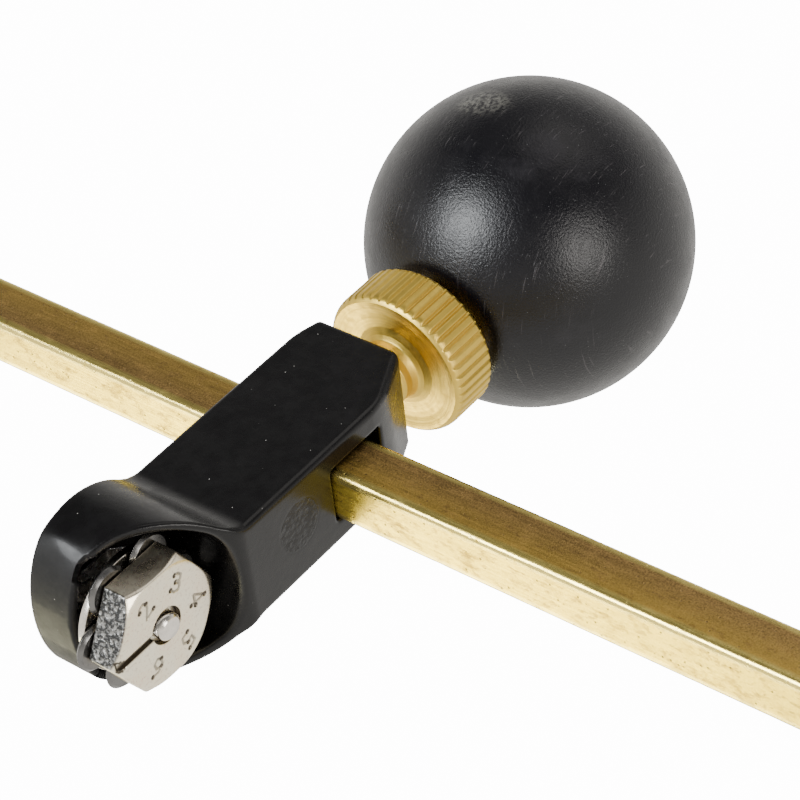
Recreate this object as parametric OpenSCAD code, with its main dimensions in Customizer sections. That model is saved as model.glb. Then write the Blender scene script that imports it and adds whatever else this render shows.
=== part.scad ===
// Beam glass cutter for circles.
// A square brass bar turns about a suction cup. A die-cast head slides along the bar
// and carries a turret of six cutting wheels, a knurled clamp screw and a free-turning
// ball knob.
// Frame: the origin is on the glass, on the axis of the pivot. +X runs along the bar
// to its free end, +Z points up from the glass. All sizes are in millimetres.

/* [Bar] */
// Height of the bar's centreline above the glass
bar_height = 32.7; // [32.7:0.5:35.7]
// Side of the square bar
bar_side = 6; // [5.6:0.1:6.2]
// Flat on each long edge of the bar
bar_edge = 0.45; // [0.2:0.05:0.8]
// Where the bar's free end is
bar_end_x = 215; // [180:5:260]

/* [Head] */
// Place of the head along the bar
head_x = 130; // [60:5:170]
// Width of the block, along the bar
block_w = 13.9; // [13:0.1:15]
// Depth of the block, across the bar
block_d = 11.8; // [11.4:0.1:12.4]
// Top of the block above the bar's centreline
block_top = 12.1; // [11:0.1:13]
// Clear width of the slot that the bar runs in
slot_w = 6.5; // [6.4:0.1:7]

/* [Hood] */
// Half-width of the hood
hood_r = 9.5; // [9.4:0.1:10]
// Thickness of the hood's side wall
hood_wall = 1; // [0.8:0.1:1.1]
// Lowest point of the hood below the bar's centreline
hood_drop = 30.75; // [30:0.25:31]

/* [Turret] */
// Turret axis below the bar's centreline
turret_drop = 24.7; // [24.3:0.1:24.7]
// Hexagon of the turret, across its flats
turret_flats = 12.3; // [11.8:0.1:12.6]
// Radius of the circle that the wheels' pins lie on
wheel_circle_r = 5.5; // [5.2:0.1:5.5]
// Diameter of a cutting wheel
wheel_d = 5; // [4.4:0.1:5]
// Diameter of the axle
axle_d = 2.5; // [2:0.1:3]

/* [Clamp screw] */
// Diameter over the knurled ridges
disc_d = 16.5; // [14:0.5:18]
// Thickness of the knurled disc
disc_t = 5.7; // [4.5:0.1:6]
// Number of ridges round the disc
ridges = 46; // [36:2:60]
// Diameter of the thread
thread_d = 6; // [5:0.5:6]

/* [Ball knob] */
// Diameter of the ball
ball_d = 35; // [30:1:38]
// Centre of the ball above the bar's centreline
ball_rise = 39; // [38:0.5:43]

/* [Suction cup] */
// Diameter of the cup on the glass
cup_d = 54; // [46:1:54]
// Depth of the hollow under the cup
cup_hollow = 3.4; // [2:0.2:3.8]

/* [Hidden] */

$fn = 96;
over = 1;                // how far a cutter runs past the face it cuts
run = 0.05;              // radial clearance of a running fit
black = [0.06, 0.06, 0.065];
brass = [0.78, 0.62, 0.28];
nickel = [0.78, 0.76, 0.72];
steel = [0.62, 0.63, 0.65];
rubber = [0.13, 0.11, 0.11];
nylon = [0.9, 0.9, 0.86];

// Stack of the pivot, from the glass up
flange_z = 5;
flange_t = 2;
flange_r = 8.5;
stud_r = 5;
spindle_r = 4;
cap_thread_r = 3;
neck_r = 10;
neck_z = 15;
collar_z = neck_z;
collar_t = 1.2;
nut_z = collar_z + collar_t;
nut_t = 5;
shoulder_z = nut_z + nut_t + 0.4;
washer_t = 0.9;
washer_r = 7.5;
hub_z = shoulder_z + washer_t + 0.15;
hub_top = bar_height + 9;
hub_r = 9.5;
arm_end_x = 24;
arm_side = 12;
bush_r = 5.2;
socket_x = 5.9;
cap_z = hub_top + washer_t + 0.3;
cap_t = 6;
cap_r = 7;
set_screw_x = 17;
set_screw_r = 2;

// Head
slot_floor = 3.05;       // below the bar's centreline
slot_roof = 4.65;        // above it
block_foot = 17.5;
front_slope = [6.5, 3];  // how far the sloping front corner runs down and back
hood_axis = 23.7;        // centre of the hood's round sides, below the centreline
back_wall_x = -4.6;
hood_ceiling = 16.4;     // top of the hood's hollow
corner_r = 10.65;        // arc that rounds the hood's lower corners
corner_axis = 21.1;
floor_r = 18;            // slow arc of the hood's underside
rim_r = 136.5;           // slightly hollow front edge of the hood
rim_centre = [111.6, 103.7];
rim_foot_x = -1.9;

// Turret, along the bar from the head's middle
plate_x = [-0.85, 0];
plate_r = 6.3;
gap_x = [0, 1.1];        // gap that the wheels turn in
front_x = 4.4;
face_r = 6.2;            // where the bevel on the hexagon's corners starts
bevel_slope = 0.78;
blank_r = 8;
recess_r = 1.9;          // round the axle's riveted end
recess_t = 0.75;
core_r = 2.7;
wheel_t = 0.8;
wheel_x = (gap_x[0] + gap_x[1]) / 2;
pin_r = 0.5;
pin_hole = 1.5;          // depth of a pin's blind hole
mark_start = 1.5;        // groove that marks the working wheel
mark_w = 0.8;
mark_t = 0.5;
axle_r = axle_d / 2;
axle_head_r = 2.2;
axle_head_t = 1;
rivet_r = axle_r + 0.15;
rivet_top = front_x + 0.2;
wheels = 6;
spring_t = 0.45;

// Screw stack above the bar's centreline
pad_t = 0.9;
pad_r = 2.8;
pad_z = bar_side / 2 + 0.03;
tip_r = 1;
tip_l = 0.55;
thread_r = thread_d / 2;
shank_z = pad_z + pad_t + 0.03;
boss_z = 13.1;
boss_r = 3.4;
disc_z = 15.3;
spigot_r = 4;
foot_r = 7.2;            // flat at the foot of the ball
insert_r = 5;
ring_t = 0.9;
ring_groove_r = 3.3;
ball_r = ball_d / 2;
insert_z = ball_rise - sqrt(ball_r * ball_r - foot_r * foot_r);
insert_top = insert_z + 11.8;
spigot_top = insert_top + 3;
bore_top = spigot_top + 1.5;

// Places a child in the head's frame: bar's centreline at the middle of the block
module in_head() {
    translate([head_x, 0, bar_height]) children();
}

// Turret's frame: its own Z along the bar, its own X straight down at the glass
module on_turret() {
    in_head() translate([0, 0, -turret_drop]) rotate([0, 90, 0]) children();
}

// Six places round the turret: the first straight down, the second towards -Y
module at_wheel(number) {
    rotate([0, 0, (1 - number) * 360 / wheels]) translate([wheel_circle_r, 0, 0]) children();
}

// Ring between two radii, standing on z
module ring(outer, inner, z, h) {
    translate([0, 0, z]) difference() {
        cylinder(r = outer, h = h);
        translate([0, 0, -over]) cylinder(r = inner, h = h + 2 * over);
    }
}

// Disc with straight ridges round its edge, bevelled at both ends. The bevel's own
// cylinder stays clear of the ridges, so that it only cuts their ends.
module knurled_disc(r, count, depth, h, cut) {
    clear = 0.1;
    intersection() {
        linear_extrude(height = h)
            polygon([for (i = [0 : 2 * count - 1])
                let (a = i * 180 / count, rr = r - depth * (i % 2)) [rr * cos(a), rr * sin(a)]]);
        edge_limit(r + clear, h, cut + clear);
    }
}

// Slope that takes the sharp edge off both ends of a turned disc
module edge_limit(r, h, cut) {
    rotate_extrude() polygon([[0, 0], [r - cut, 0], [r, cut], [r, h - cut], [r - cut, h], [0, h]]);
}

module suction_cup() {
    color(rubber) difference() {
        rotate_extrude() polygon([
            [0, 0], [cup_d / 2, 0], [cup_d / 2, 1.7], [cup_d / 2 - 4, 3], [14.5, 8.2],
            [neck_r + 0.8, 9.6], [neck_r, 11], [neck_r, neck_z], [stud_r, neck_z],
            [stud_r, flange_z + flange_t], [flange_r, flange_z + flange_t],
            [flange_r, flange_z], [0, flange_z]
        ]);
        cup_cavity();
    }
}

// Shallow dished hollow that holds the vacuum
module cup_cavity() {
    half = cup_d / 2 - 3.5;
    dish_r = (half * half + cup_hollow * cup_hollow) / (2 * cup_hollow);
    translate([0, 0, cup_hollow - dish_r]) sphere(r = dish_r);
}

module pivot_stud() {
    color(steel) {
        translate([0, 0, flange_z]) cylinder(r = flange_r, h = flange_t);
        cylinder_between(stud_r, flange_z + flange_t, shoulder_z);
        cylinder_between(spindle_r, shoulder_z, cap_z);
        cylinder_between(cap_thread_r, cap_z, cap_z + cap_t - 1.2);
    }
}

module cylinder_between(r, low, high) {
    translate([0, 0, low]) cylinder(r = r, h = high - low);
}

module cup_collar() {
    color(nickel) difference() {
        translate([0, 0, collar_z]) edge_limit(neck_r + 1.5, collar_t, 0.4);
        cylinder(r = stud_r, h = nut_z + over);
    }
}

module lock_nut() {
    color(nickel) difference() {
        translate([0, 0, nut_z]) intersection() {
            cylinder(r = 9.3, h = nut_t, $fn = 6);
            edge_limit(9, nut_t, 0.6);
        }
        cylinder(r = stud_r, h = shoulder_z + over);
    }
}

module lower_washer() {
    color(nylon) ring(washer_r, spindle_r + run, shoulder_z + 0.05, washer_t);
}

module upper_washer() {
    color(nickel) ring(washer_r, spindle_r + run, hub_top + 0.15, washer_t);
}

module cap_nut() {
    color(brass) difference() {
        translate([0, 0, cap_z]) knurled_disc(cap_r, 40, 0.35, cap_t, 0.7);
        cylinder(r = cap_thread_r, h = cap_z + cap_t - 1);
    }
}

module pivot_hub() {
    color(black) difference() {
        union() {
            translate([0, 0, hub_z]) edge_limit(hub_r, hub_top - hub_z, 0.8);
            translate([0, -arm_side / 2, bar_height - arm_side / 2])
                cube([arm_end_x, arm_side, arm_side]);
        }
        translate([0, 0, hub_z - over]) cylinder(r = bush_r, h = hub_top - hub_z + 2 * over);
        translate([socket_x, -bar_side / 2, bar_height - bar_side / 2])
            cube([arm_end_x, bar_side, bar_side]);
        translate([set_screw_x, 0, bar_height]) cylinder(r = set_screw_r, h = arm_side);
    }
}

module pivot_bushing() {
    color(brass) ring(bush_r, spindle_r + run, hub_z, hub_top - hub_z);
}

module hub_set_screw() {
    top = bar_height + arm_side / 2 - 0.3;
    color(steel) translate([set_screw_x, 0, 0]) difference() {
        cylinder_between(set_screw_r, bar_height + bar_side / 2, top);
        translate([0, 0, top - 1.4]) cylinder(r = 1.15, h = 1.4 + over, $fn = 6);
    }
}

module bar() {
    s = bar_side / 2;
    e = s - bar_edge;
    color(brass) difference() {
        translate([socket_x, 0, bar_height]) rotate([90, 0, 90])
            linear_extrude(height = bar_end_x - socket_x)
                polygon([[e, -s], [s, -e], [s, e], [e, s], [-e, s], [-s, e], [-s, -e], [-e, -s]]);
        at_bar_end() translate([0, 0, -10]) cylinder(r = 1.5, h = 10 + over);
    }
}

// Frame at the bar's free end, its own Z pointing out along the bar
module at_bar_end() {
    translate([bar_end_x, 0, bar_height]) rotate([0, 90, 0]) children();
}

module end_washer() {
    color(nickel) at_bar_end() difference() {
        edge_limit(5.2, 1.6, 0.3);
        translate([0, 0, -over]) cylinder(r = 1.5, h = 4);
    }
}

module end_screw() {
    color(nickel) at_bar_end() difference() {
        union() {
            cylinder_between(1.5, -9, 1.6);
            translate([0, 0, 1.6]) edge_limit(2.9, 1.9, 0.5);
        }
        translate([-3, -0.4, 2.7]) cube([6, 0.8, 2]);
    }
}

module head_block() {
    color(black) in_head() difference() {
        union() {
            block_body();
            hood_body();
        }
        bar_slot();
        cylinder(r = thread_r + run, h = block_top + over);
        hood_cavity();
        hood_front_cut();
        axle_bore();
    }
}

// Square upper part, with the front top corner sloped off
module block_body() {
    half = block_w / 2;
    rotate([90, 0, 0]) linear_extrude(height = block_d, center = true)
        polygon([
            [-half, -block_foot], [half, -block_foot], [half, block_top - front_slope[0]],
            [half - front_slope[1], block_top], [0.8 - half, block_top], [-half, block_top - 3]
        ]);
}

// Flat outline of the hood, seen along the bar, with its own Y up
module hood_outline(wall) {
    intersection() {
        translate([0, -hood_axis]) circle(r = hood_r - wall);
        translate([0, -corner_axis]) circle(r = corner_r - wall);
        translate([0, floor_r - hood_drop]) circle(r = floor_r - wall);
    }
}

module hood_body() {
    rotate([90, 0, 90]) linear_extrude(height = block_w, center = true) hood_outline(0);
}

module hood_cavity() {
    intersection() {
        translate([back_wall_x, 0, 0]) rotate([90, 0, 90])
            linear_extrude(height = block_w) hood_outline(hood_wall);
        translate([-block_w, -block_w, -hood_drop])
            cube([2 * block_w, 2 * block_w, hood_drop - hood_ceiling]);
    }
}

// Hollow front edge: the wall is full at the top and short at the foot
module hood_front_cut() {
    intersection() {
        translate([rim_centre[0], 0, -rim_centre[1]]) rotate([90, 0, 0])
            cylinder(r = rim_r, h = 40, center = true, $fn = 240);
        translate([rim_foot_x, -20, -60]) cube([40, 40, 60]);
    }
}

module bar_slot() {
    translate([-block_w, -slot_w / 2, -slot_floor])
        cube([2 * block_w, slot_w, slot_floor + slot_roof]);
}

module axle_bore() {
    translate([-block_w / 2, 0, -turret_drop]) rotate([0, 90, 0]) {
        translate([0, 0, -over]) cylinder(r = axle_r, h = block_w);
        translate([0, 0, -over]) cylinder(r = axle_head_r, h = axle_head_t + over);
    }
}

module turret_axle() {
    back = -block_w / 2;
    color(nickel) on_turret() {
        translate([0, 0, back]) cylinder(r = axle_head_r, h = axle_head_t);
        cylinder_between(axle_r, back, front_x + 0.5);
        cylinder_between(rivet_r, front_x - recess_t + run, rivet_top);
    }
}

// Bent strip: flat on the back wall, with a lip that bears on the turret
module index_spring() {
    x0 = back_wall_x;
    x1 = plate_x[0] - 0.25;
    color(steel) in_head() translate([0, 0, -turret_drop]) difference() {
        rotate([90, 0, 0]) linear_extrude(height = 7, center = true) polygon([
            [x0, -3.4], [x0 + spring_t, -3.4], [x0 + spring_t, 2.2], [x1, 5], [x1, 6.2],
            [x1 - spring_t, 6.2], [x1 - spring_t, 5.2], [x0, 2.5]
        ]);
        rotate([0, 90, 0]) cylinder(r = axle_r + run, h = 20, center = true);
    }
}

module turret_body() {
    color(nickel) on_turret() difference() {
        union() {
            intersection() {
                translate([0, 0, gap_x[1]])
                    cylinder(r = turret_flats / sqrt(3), h = front_x - gap_x[1], $fn = 6);
                rotate_extrude() polygon([
                    [0, gap_x[1]], [blank_r, gap_x[1]],
                    [blank_r, front_x - (blank_r - face_r) * bevel_slope],
                    [face_r, front_x], [0, front_x]
                ]);
            }
            cylinder_between(core_r, gap_x[0], gap_x[1]);
        }
        translate([0, 0, -over]) cylinder(r = axle_r + run, h = front_x + 2 * over);
        translate([0, 0, front_x - recess_t]) cylinder(r = recess_r, h = recess_t + over);
        translate([mark_start, -mark_w / 2, front_x - mark_t]) cube([blank_r, mark_w, over]);
        for (i = [1 : wheels])
            at_wheel(i) cylinder_between(pin_r, gap_x[1] - over, gap_x[1] + pin_hole);
    }
}

module turret_rear_plate() {
    color(nickel) on_turret() difference() {
        cylinder_between(plate_r, plate_x[0], plate_x[1]);
        translate([0, 0, plate_x[0] - over]) cylinder(r = axle_r + run, h = 4);
        for (i = [1 : wheels])
            at_wheel(i) translate([0, 0, plate_x[0] - over]) cylinder(r = pin_r, h = 4);
    }
}

module wheel_pins() {
    color(steel) on_turret()
        for (i = [1 : wheels])
            at_wheel(i) cylinder_between(pin_r, plate_x[0], gap_x[1] + pin_hole - 0.1);
}

// Hardened wheel with a two-sided cutting edge
module wheel(number) {
    r = wheel_d / 2;
    color(steel) on_turret() at_wheel(number) translate([0, 0, wheel_x])
        rotate_extrude() polygon([
            [pin_r + run, -wheel_t / 2], [r - 0.35, -wheel_t / 2], [r, 0],
            [r - 0.35, wheel_t / 2], [pin_r + run, wheel_t / 2]
        ]);
}

module pressure_pad() {
    color(nylon) in_head() difference() {
        cylinder_between(pad_r, pad_z, pad_z + pad_t);
        cylinder_between(tip_r + run, pad_z + pad_t - tip_l - 0.05, pad_z + pad_t + over);
    }
}

module clamp_screw() {
    disc_top = disc_z + disc_t;
    color(brass) in_head() difference() {
        union() {
            cylinder_between(tip_r, shank_z - tip_l, shank_z);
            cylinder_between(thread_r - 0.03, shank_z, boss_z);
            rotate_extrude() polygon([
                [0, boss_z], [thread_r - 0.03, boss_z], [boss_r - 0.2, boss_z + 0.5],
                [boss_r, boss_z + 1.1], [boss_r, disc_z + 0.3], [0, disc_z + 0.3]
            ]);
            translate([0, 0, disc_z]) knurled_disc(disc_d / 2, ridges, 0.3, disc_t, 0.6);
            cylinder_between(spigot_r, disc_top, spigot_top);
        }
        ring(boss_r + 2.8, boss_r + 0.4, disc_z - over, over + 0.3);
        ring(spigot_r + over, ring_groove_r, insert_top + 0.1, ring_t + 0.1);
    }
}

module ball_insert() {
    color(brass) in_head() ring(insert_r, spigot_r + run, insert_z, insert_top - insert_z);
}

module retaining_ring() {
    color(steel) in_head() difference() {
        ring(4.6, ring_groove_r, insert_top + 0.15, ring_t);
        translate([0, -0.8, insert_top - over]) cube([8, 1.6, 4]);
    }
}

module ball_knob() {
    color(black) in_head() difference() {
        translate([0, 0, ball_rise]) sphere(r = ball_r, $fn = 128);
        cylinder(r = ball_r, h = insert_z);
        cylinder(r = insert_r, h = bore_top);
    }
}

suction_cup();
pivot_stud();
cup_collar();
lock_nut();
lower_washer();
upper_washer();
cap_nut();
pivot_hub();
pivot_bushing();
hub_set_screw();
bar();
end_washer();
end_screw();
head_block();
turret_axle();
index_spring();
turret_body();
turret_rear_plate();
wheel_pins();
wheel(1);  // wheel_1
wheel(2);  // wheel_2
wheel(3);  // wheel_3
wheel(4);  // wheel_4
wheel(5);  // wheel_5
wheel(6);  // wheel_6
pressure_pad();
clamp_screw();
ball_insert();
retaining_ring();
ball_knob();
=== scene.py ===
"""Looks of a beam glass cutter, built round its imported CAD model.

Shapes are worked out in millimetres. Head-frame points are counted from the middle of the
head on the bar's centreline, pivot-frame points from the pivot on the glass.
"""
import math

import bpy
import numpy as np
from mathutils import Matrix, Vector


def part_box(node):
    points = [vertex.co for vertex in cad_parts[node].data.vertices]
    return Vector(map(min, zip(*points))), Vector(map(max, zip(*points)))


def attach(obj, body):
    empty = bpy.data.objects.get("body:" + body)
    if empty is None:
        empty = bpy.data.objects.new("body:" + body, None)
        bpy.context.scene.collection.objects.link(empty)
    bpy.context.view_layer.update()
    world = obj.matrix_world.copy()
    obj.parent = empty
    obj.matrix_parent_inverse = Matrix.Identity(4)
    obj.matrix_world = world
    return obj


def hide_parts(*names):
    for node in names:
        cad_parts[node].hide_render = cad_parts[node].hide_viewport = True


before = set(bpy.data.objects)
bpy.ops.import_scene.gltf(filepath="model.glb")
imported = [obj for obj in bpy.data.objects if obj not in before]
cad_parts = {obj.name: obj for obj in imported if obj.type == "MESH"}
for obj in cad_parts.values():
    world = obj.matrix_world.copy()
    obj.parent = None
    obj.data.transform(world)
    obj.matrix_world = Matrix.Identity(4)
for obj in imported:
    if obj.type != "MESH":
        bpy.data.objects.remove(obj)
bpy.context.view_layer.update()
MM = 0.001


def middle(node):
    low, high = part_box(node)
    return (low + high) / 2 / MM


BAR_Z = middle("bar").z
HEAD = np.array([middle("head_block").x, 0.0, BAR_Z])
PIVOT = np.zeros(3)
TURRET_DROP = 24.7
BALL_RISE = 39.0
BALL_R = 17.5
ROUND_MARK = np.array([6.95, -0.6, -8.3])        # the ejector pin's mark, in the head frame
ROUND_MARK_R = 2.9
ROUND_MARK_DEPTH = 0.02
SCUFF = HEAD + np.array([0, 0, BALL_RISE]) + BALL_R * np.array([-0.242, -0.97, -0.035])


# ---------------------------------------------------------------- meshes

def new_piece(name, vertices, faces, body, finish, nodes=(), smooth=True):
    """A mesh piece from vertices in millimetres, riding on a body in place of CAD nodes."""
    mesh = bpy.data.meshes.new(name)
    mesh.from_pydata([tuple(v) for v in np.asarray(vertices) * MM], [], faces)
    mesh.polygons.foreach_set("use_smooth", [smooth] * len(mesh.polygons))
    mesh.update()
    piece = bpy.data.objects.new(name, mesh)
    bpy.context.scene.collection.objects.link(piece)
    return settle(piece, body, finish, nodes)


def settle(piece, body, finish, nodes=()):
    """Gives a piece its one finish and its body, and hides the CAD nodes it replaces."""
    piece.data.materials.clear()
    piece.data.materials.append(finish)
    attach(piece, body)
    if nodes:
        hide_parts(*nodes)
    return piece


def rounded(corners, steps=6, closed=False):
    """Outline through corners (x, y, radius), each turned by a curve of about that radius."""
    points = []
    count = len(corners)
    for i, (x, y, radius) in enumerate(corners):
        here = np.array([x, y], float)
        ends = not closed and i in (0, count - 1)
        if radius <= 0 or ends:
            points.append(here)
            continue
        back = np.array(corners[i - 1][:2], float) - here
        ahead = np.array(corners[(i + 1) % count][:2], float) - here
        room = 0.48 * min(np.linalg.norm(back), np.linalg.norm(ahead))
        back, ahead = back / np.linalg.norm(back), ahead / np.linalg.norm(ahead)
        half = 0.5 * math.acos(np.clip(back @ ahead, -1, 1))
        reach = min(radius / math.tan(half), room)
        for k in range(steps + 1):
            s = k / steps
            points.append(here + reach * ((1 - s) ** 2 * back + s ** 2 * ahead))
    return np.array(points)


def lathe(profile, turns=128, tread=None, closed=False):
    """Vertices and faces of a profile (radius, height) turned about Z.

    tread(radius, height, angle) may change the radius, for ridges. A closed profile is a
    ring with a hole; an open one starts and ends on the axis.
    """
    angles = np.arange(turns) * 2 * math.pi / turns
    vertices, faces = [], []
    rows = []
    for radius, height in profile:
        if radius < 1e-6:
            rows.append([len(vertices)])
            vertices.append((0.0, 0.0, height))
            continue
        reach = tread(radius, height, angles) if tread else np.full(turns, radius)
        rows.append(range(len(vertices), len(vertices) + turns))
        vertices.extend(zip(reach * np.cos(angles), reach * np.sin(angles), [height] * turns))
    pairs = list(zip(rows, rows[1:])) + ([(rows[-1], rows[0])] if closed else [])
    for low, high in pairs:
        if len(low) == len(high) == 1:
            continue
        for k in range(turns):
            n = (k + 1) % turns
            if len(low) == 1:
                faces.append((low[0], high[n], high[k]))
            elif len(high) == 1:
                faces.append((low[k], low[n], high[0]))
            else:
                faces.append((low[k], low[n], high[n], high[k]))
    return np.array(vertices), faces


def along_x(vertices):
    """Turns a lathe's axis from Z to X."""
    v = np.asarray(vertices)
    return np.stack([v[:, 2], v[:, 1], -v[:, 0]], 1)


def sculpt(name, node, voxel, field, origin, body, finish, rounds=8):
    """A fine remesh of a CAD node, with every point pulled onto the surface field(p) = 0.

    field takes points in millimetres from origin and gives their distance outside the skin.
    """
    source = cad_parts[node]
    work = bpy.data.objects.new(name, source.data.copy())
    bpy.context.scene.collection.objects.link(work)
    remesh = work.modifiers.new("remesh", "REMESH")
    remesh.mode = "VOXEL"
    remesh.voxel_size = voxel * MM
    graph = bpy.context.evaluated_depsgraph_get()
    mesh = bpy.data.meshes.new_from_object(work.evaluated_get(graph))
    work.modifiers.clear()
    work.data = mesh
    points = np.zeros(len(mesh.vertices) * 3, np.float32)
    mesh.vertices.foreach_get("co", points)
    points = points.reshape(-1, 3).astype(float) / MM - origin
    edges = np.zeros(len(mesh.edges) * 2, np.int32)
    mesh.edges.foreach_get("vertices", edges)
    points = pull(points, edges.reshape(-1, 2), field, rounds)
    mesh.vertices.foreach_set("co", ((points + origin) * MM).astype(np.float32).ravel())
    mesh.polygons.foreach_set("use_smooth", [True] * len(mesh.polygons))
    mesh.update()
    mesh.name = name
    return settle(work, body, finish, [node])


def pull(points, edges, field, rounds):
    """Spreads points evenly over the surface field = 0."""
    a, b = edges.T
    count = len(points)
    share = np.bincount(a, minlength=count) + np.bincount(b, minlength=count)
    for turn in range(rounds):
        if turn < rounds - 1:
            total = np.stack([np.bincount(a, points[b, k], count)
                              + np.bincount(b, points[a, k], count) for k in range(3)], 1)
            points = points + 0.5 * (total / share[:, None] - points)
        for _ in range(2):
            points = points - newton_step(points, field)
    return points


def newton_step(points, field, reach=0.012, most=0.35):
    """The move that takes each point to the surface, no longer than most."""
    value = field(points)
    slope = np.stack([field(points + reach * axis) - field(points - reach * axis)
                      for axis in np.eye(3)], 1) / (2 * reach)
    size = np.maximum((slope ** 2).sum(1), 0.2)
    step = slope * (value / size)[:, None]
    length = np.linalg.norm(step, axis=1)
    return step * np.minimum(1, most / np.maximum(length, 1e-9))[:, None]


# ---------------------------------------------------------------- distance fields

def both(a, b, r=0.0):
    """Inside a and b, with the edge between them rounded to radius r."""
    if r <= 0:
        return np.maximum(a, b)
    corner = np.hypot(np.maximum(a + r, 0), np.maximum(b + r, 0))
    return np.minimum(-r, np.maximum(a, b)) + corner


def either(a, b, r=0.0):
    """Inside a or b, with a fillet of radius r where they meet."""
    return -both(-a, -b, r)


def without(a, b, r=0.0):
    return both(a, -b, r)


def slab(p, centre, half):
    return np.abs(p - centre) - half


def plane(u, v, start, end):
    """Distance outside a straight edge from start to end, with the solid on its right."""
    along = np.array(end, float) - np.array(start, float)
    along /= np.linalg.norm(along)
    return -(u - start[0]) * along[1] + (v - start[1]) * along[0]


# ---------------------------------------------------------------- finishes

class Finish:
    """A procedural material being put together. Sizes are in millimetres."""

    def __init__(self, name, **sockets):
        self.material = bpy.data.materials.new(name)
        self.material.use_nodes = True
        self.tree = self.material.node_tree
        self.shader = self.tree.nodes["Principled BSDF"]
        for socket, value in sockets.items():
            self.shader.inputs[socket.replace("_", " ")].default_value = value
        self.place = self.add("ShaderNodeTexCoord").outputs["Object"]
        self.normal = None

    def add(self, kind, settings=None, **inputs):
        node = self.tree.nodes.new(kind)
        for key, value in (settings or {}).items():
            setattr(node, key, value)
        for key, value in inputs.items():
            self.feed(node.inputs[key.replace("_", " ")], value)
        return node

    def feed(self, socket, value):
        if isinstance(value, bpy.types.NodeSocket):
            self.tree.links.new(value, socket)
        else:
            socket.default_value = value

    def maths(self, operation, a, b=0.0):
        node = self.add("ShaderNodeMath", {"operation": operation})
        self.feed(node.inputs[0], a)
        self.feed(node.inputs[1], b)
        return node.outputs[0]

    def mapped(self, centre=(0, 0, 0), stretch=(1, 1, 1)):
        """Object coordinates in millimetres from a centre, squeezed by a stretch."""
        node = self.add("ShaderNodeMapping", {"vector_type": "TEXTURE"}, Vector=self.place)
        node.inputs["Location"].default_value = [c * MM for c in centre]
        node.inputs["Scale"].default_value = [s * MM for s in stretch]
        return node.outputs[0]

    def noise(self, size, detail=3.0, rough=0.55, stretch=(1, 1, 1), shift=0.0):
        where = self.mapped((shift, shift * 0.7, -shift), stretch)
        node = self.add("ShaderNodeTexNoise", None, Vector=where, Scale=1.0 / size,
                        Detail=detail, Roughness=rough)
        return node.outputs[0]

    def specks(self, spacing, radius, shift=0.0):
        """1 in small spots about spacing apart, 0 between them."""
        node = self.add("ShaderNodeTexVoronoi", None, Vector=self.mapped((shift, 0, shift)),
                        Scale=1.0 / spacing)
        near = self.span(node.outputs["Distance"], radius / spacing, 0.4 * radius / spacing)
        rare = self.span(self.channel(node.outputs["Color"]), 0.55, 0.6)
        return self.maths("MULTIPLY", near, rare)

    def channel(self, colour):
        return self.add("ShaderNodeSeparateColor", None, Color=colour).outputs[0]

    def split(self, vector):
        return self.add("ShaderNodeSeparateXYZ", None, Vector=vector).outputs

    def span(self, value, low, high, out_low=0.0, out_high=1.0):
        """A smooth step from out_low at low to out_high at high."""
        node = self.add("ShaderNodeMapRange", {"interpolation_type": "SMOOTHSTEP"}, Value=value)
        for key, number in (("From Min", low), ("From Max", high),
                            ("To Min", out_low), ("To Max", out_high)):
            node.inputs[key].default_value = number
        return node.outputs[0]

    def mix(self, amount, a, b):
        node = self.add("ShaderNodeMix", {"data_type": "RGBA"})
        self.feed(node.inputs[0], amount)
        self.feed(node.inputs[6], a if isinstance(a, bpy.types.NodeSocket) else (*a, 1))
        self.feed(node.inputs[7], b if isinstance(b, bpy.types.NodeSocket) else (*b, 1))
        return node.outputs[2]

    def slide(self, amount, a, b):
        """A number that goes from a to b."""
        node = self.add("ShaderNodeMix")
        for place, value in ((0, amount), (2, a), (3, b)):
            self.feed(node.inputs[place], value)
        return node.outputs[0]

    def attribute(self, name):
        return self.add("ShaderNodeAttribute", {"attribute_name": name}).outputs["Fac"]

    def rings(self, centre, axis, size, detail=2.0):
        """Noise that changes only with the distance from an axis: turning marks."""
        parts = self.split(self.mapped(centre))
        across = [parts[k] for k in range(3) if k != axis]
        reach = self.maths("SQRT", self.maths("ADD", self.maths("POWER", across[0], 2.0),
                                              self.maths("POWER", across[1], 2.0)))
        vector = self.add("ShaderNodeCombineXYZ", None, X=reach).outputs[0]
        return self.add("ShaderNodeTexNoise", None, Vector=vector, Scale=1.0 / size,
                        Detail=detail).outputs[0]

    def bump(self, height, depth, strength=1.0):
        node = self.add("ShaderNodeBump", None, Height=height, Distance=depth * MM,
                        Strength=strength)
        if self.normal:
            self.feed(node.inputs["Normal"], self.normal)
        self.normal = node.outputs[0]

    def done(self, colour=None, rough=None):
        if colour is not None:
            self.feed(self.shader.inputs["Base Color"], colour)
        if rough is not None:
            self.feed(self.shader.inputs["Roughness"], rough)
        if self.normal:
            self.feed(self.shader.inputs["Normal"], self.normal)
        return self.material


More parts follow.
